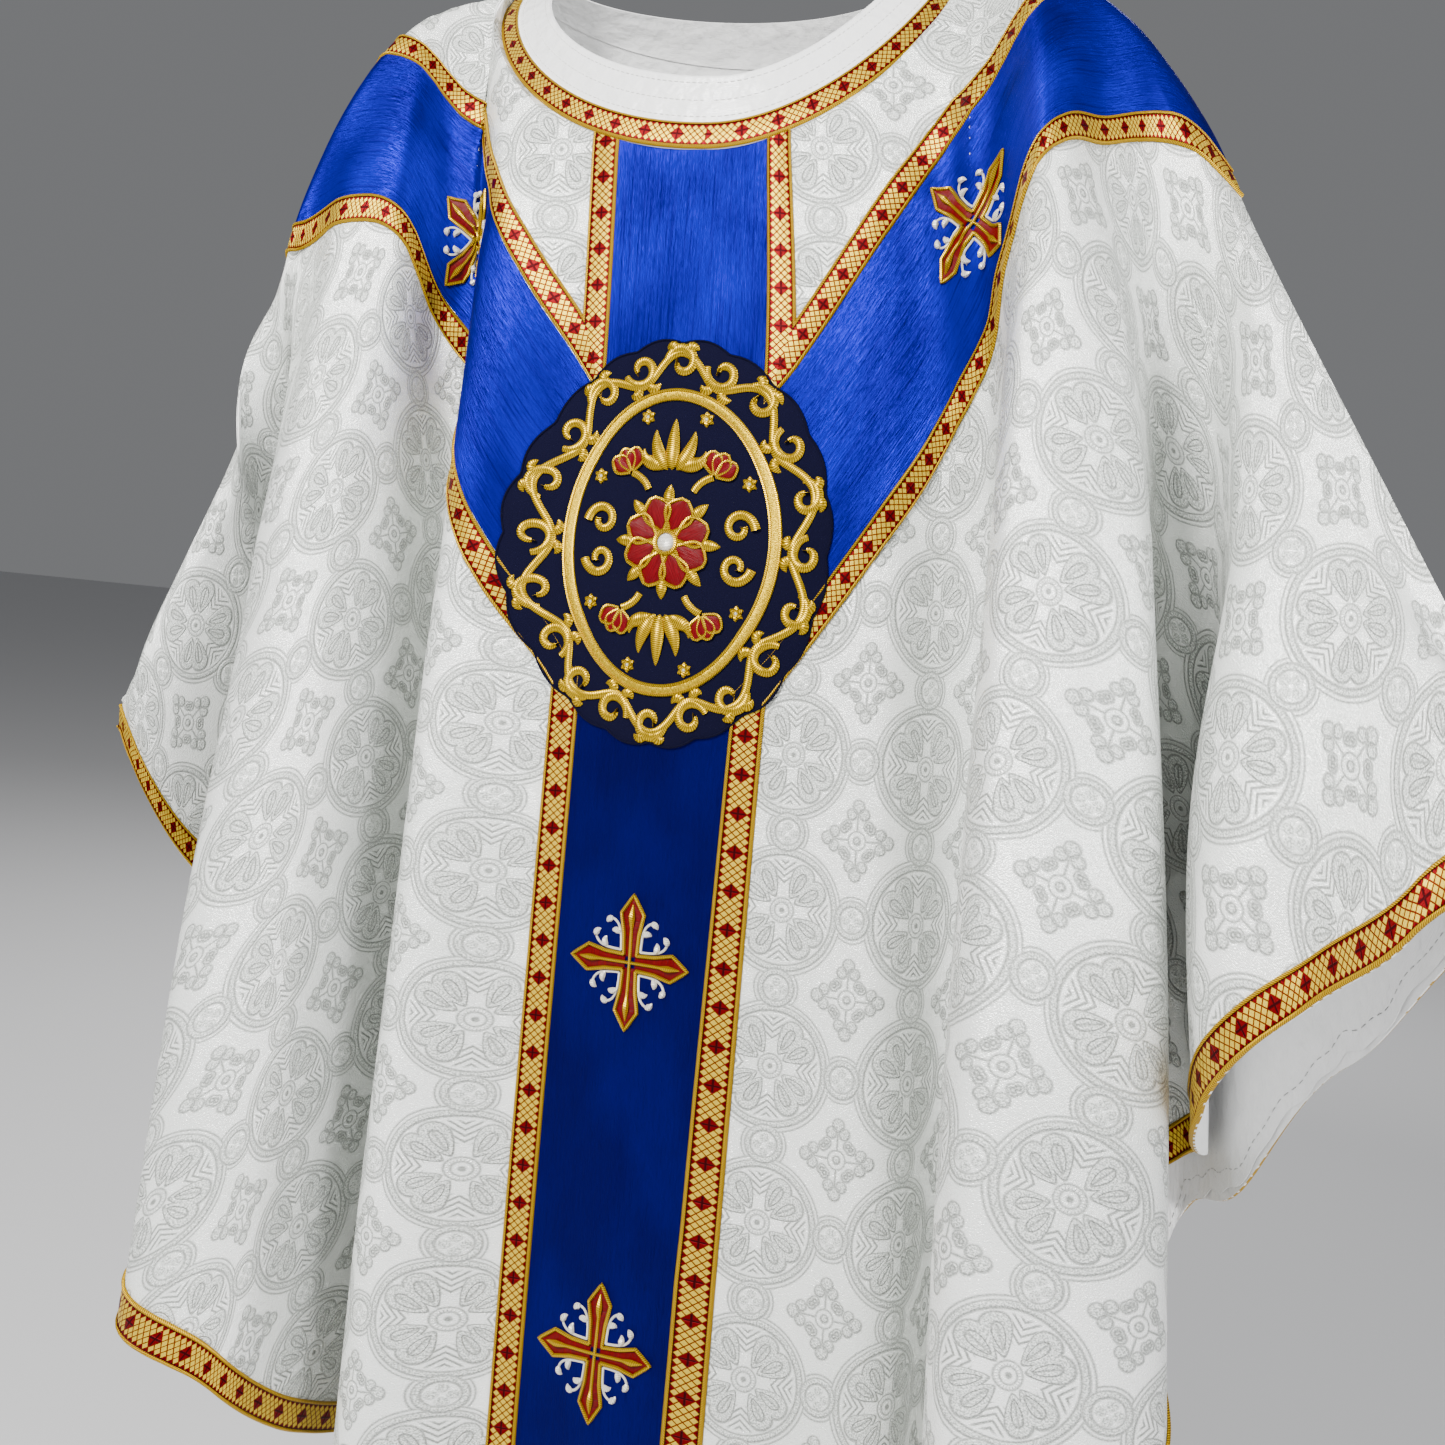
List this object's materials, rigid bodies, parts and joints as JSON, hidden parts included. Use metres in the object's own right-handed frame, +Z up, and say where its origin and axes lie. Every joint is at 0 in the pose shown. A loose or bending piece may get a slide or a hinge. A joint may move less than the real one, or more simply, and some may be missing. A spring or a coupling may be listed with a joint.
{
  "type": "chasuble",
  "caption": "Wide sleeveless vestment of damask with a round neck and a Y-shaped orphrey edged with braid, hanging as worn.",
  "frame": {"origin": "between the two neck sides, at their height, where the wearer's shoulders carry the cloth", "axes": "+Z up, -Y towards the front, +X towards the wearer's left"},
  "size_m": [0.9843, 0.4855, 1.2397],
  "materials": {
    "damask": "pearl-white satin damask with a slight sheen",
    "lining satin": "smooth white satin",
    "blue dupion": "royal blue dupion with dark slubs, satin sheen",
    "gold and red braid": "woven metallic gold braid with red and cream figures",
    "gold thread": "raised metallic gold embroidery",
    "navy velvet": "matt navy velvet",
    "red satin": "red satin stitch edged with gold"
  },
  "bodies": {
    "root": {"cross_arm_left": "red satin", "cross_arm_right": "red satin", "cross_column_lower": "red satin", "cross_column_upper": "red satin", "galloon_arm_lower_back_left": "gold and red braid", "galloon_arm_lower_back_right": "gold and red braid", "galloon_arm_lower_front_left": "gold and red braid", "galloon_arm_lower_front_right": "gold and red braid", "galloon_arm_upper_back_left": "gold and red braid", "galloon_arm_upper_back_right": "gold and red braid", "galloon_arm_upper_front_left": "gold and red braid", "galloon_arm_upper_front_right": "gold and red braid", "galloon_column_lower_back_left": "gold and red braid", "galloon_column_lower_back_right": "gold and red braid", "galloon_column_lower_front_left": "gold and red braid", "galloon_column_lower_front_right": "gold and red braid", "galloon_column_upper_back_left": "gold and red braid", "galloon_column_upper_back_right": "gold and red braid", "galloon_column_upper_front_left": "gold and red braid", "galloon_column_upper_front_right": "gold and red braid", "lining_sleeve_left": "lining satin", "lining_sleeve_right": "lining satin", "medallion": "navy velvet", "medallion_ring": "gold thread", "neck_band": "lining satin", "orphrey_arm_back_left": "blue dupion", "orphrey_arm_back_right": "blue dupion", "orphrey_arm_front_left": "blue dupion", "orphrey_arm_front_right": "blue dupion", "orphrey_column_back": "blue dupion", "orphrey_column_front": "blue dupion", "panel_back": "damask", "panel_front": "damask", "trim_hem_back": "gold and red braid", "trim_hem_front": "gold and red braid", "trim_neck": "gold and red braid"}
  },
  "joints": []
}
